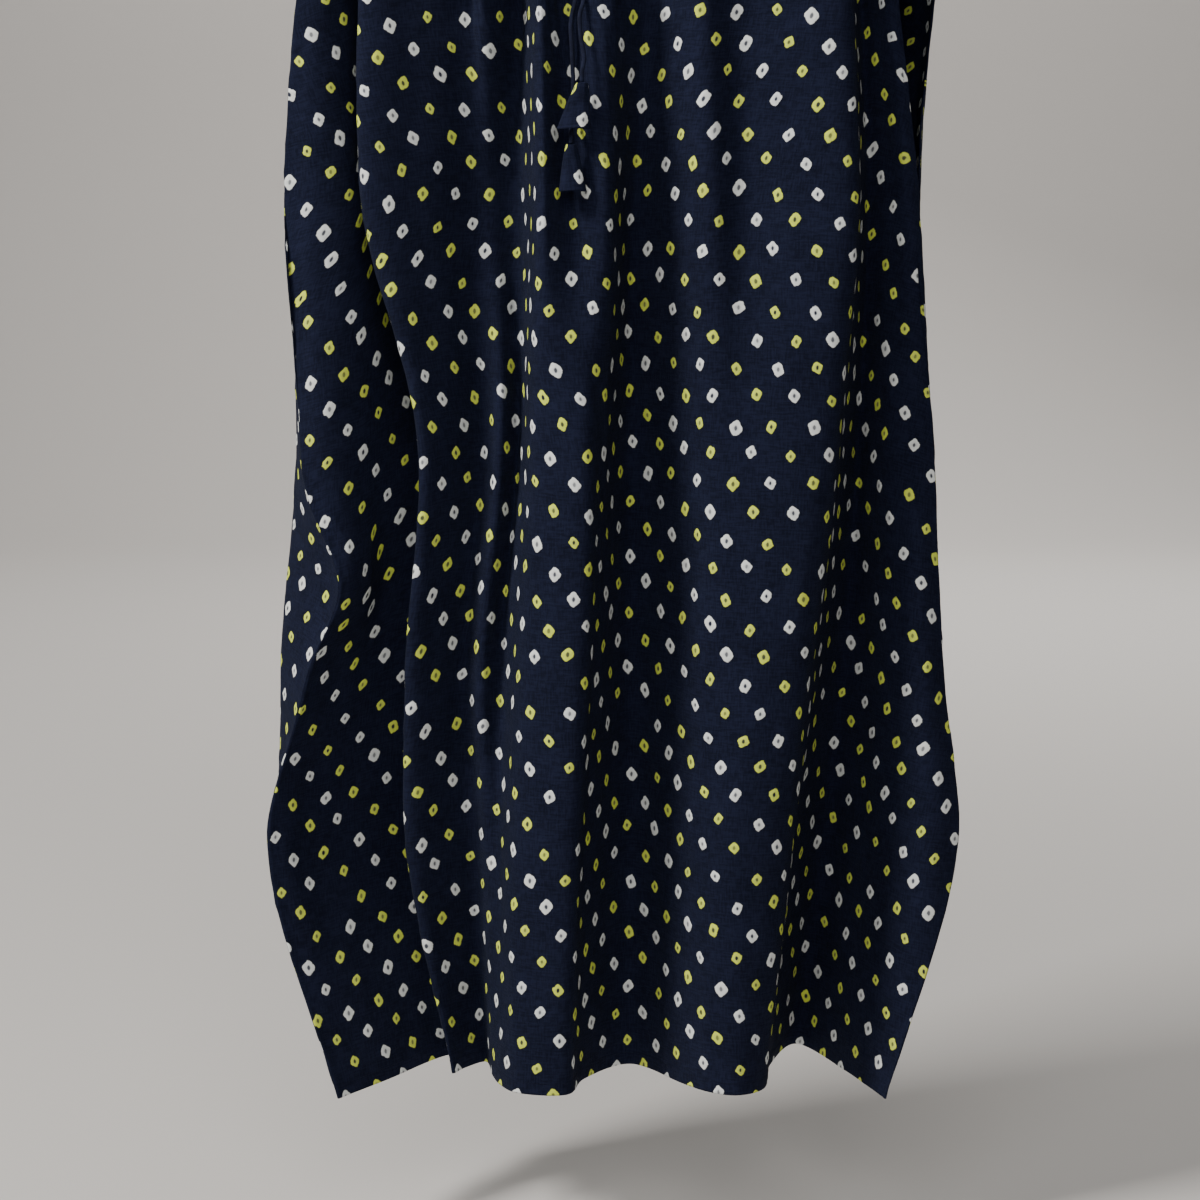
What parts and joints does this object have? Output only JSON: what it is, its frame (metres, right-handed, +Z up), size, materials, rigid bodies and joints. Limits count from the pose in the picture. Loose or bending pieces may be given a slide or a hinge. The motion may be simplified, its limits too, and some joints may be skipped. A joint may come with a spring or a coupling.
{
  "type": "kaftan",
  "caption": "Long loose cotton kaftan with wing sleeves, a front waist gathered by a drawstring, cloth tassels, deep hanging folds and pointed side corners.",
  "frame": {"origin": "middle of the neck at shoulder height, where the wearer carries the garment", "axes": "+Z up along the body, the front faces -Y, +X across the shoulders to the right of someone looking at the front"},
  "size_m": [0.6675, 0.3003, 1.4735],
  "materials": {
    "navy_cotton": "matt woven cotton with tie-dyed dots",
    "navy_cord": "matt cotton tube"
  },
  "bodies": {
    "root": {"front_panel": "navy_cotton", "back_panel": "navy_cotton", "waist_casing": "navy_cotton", "tassel_a": "navy_cotton", "tassel_b": "navy_cotton", "drawstring_end_a": "navy_cord", "drawstring_end_b": "navy_cord"}
  },
  "joints": []
}
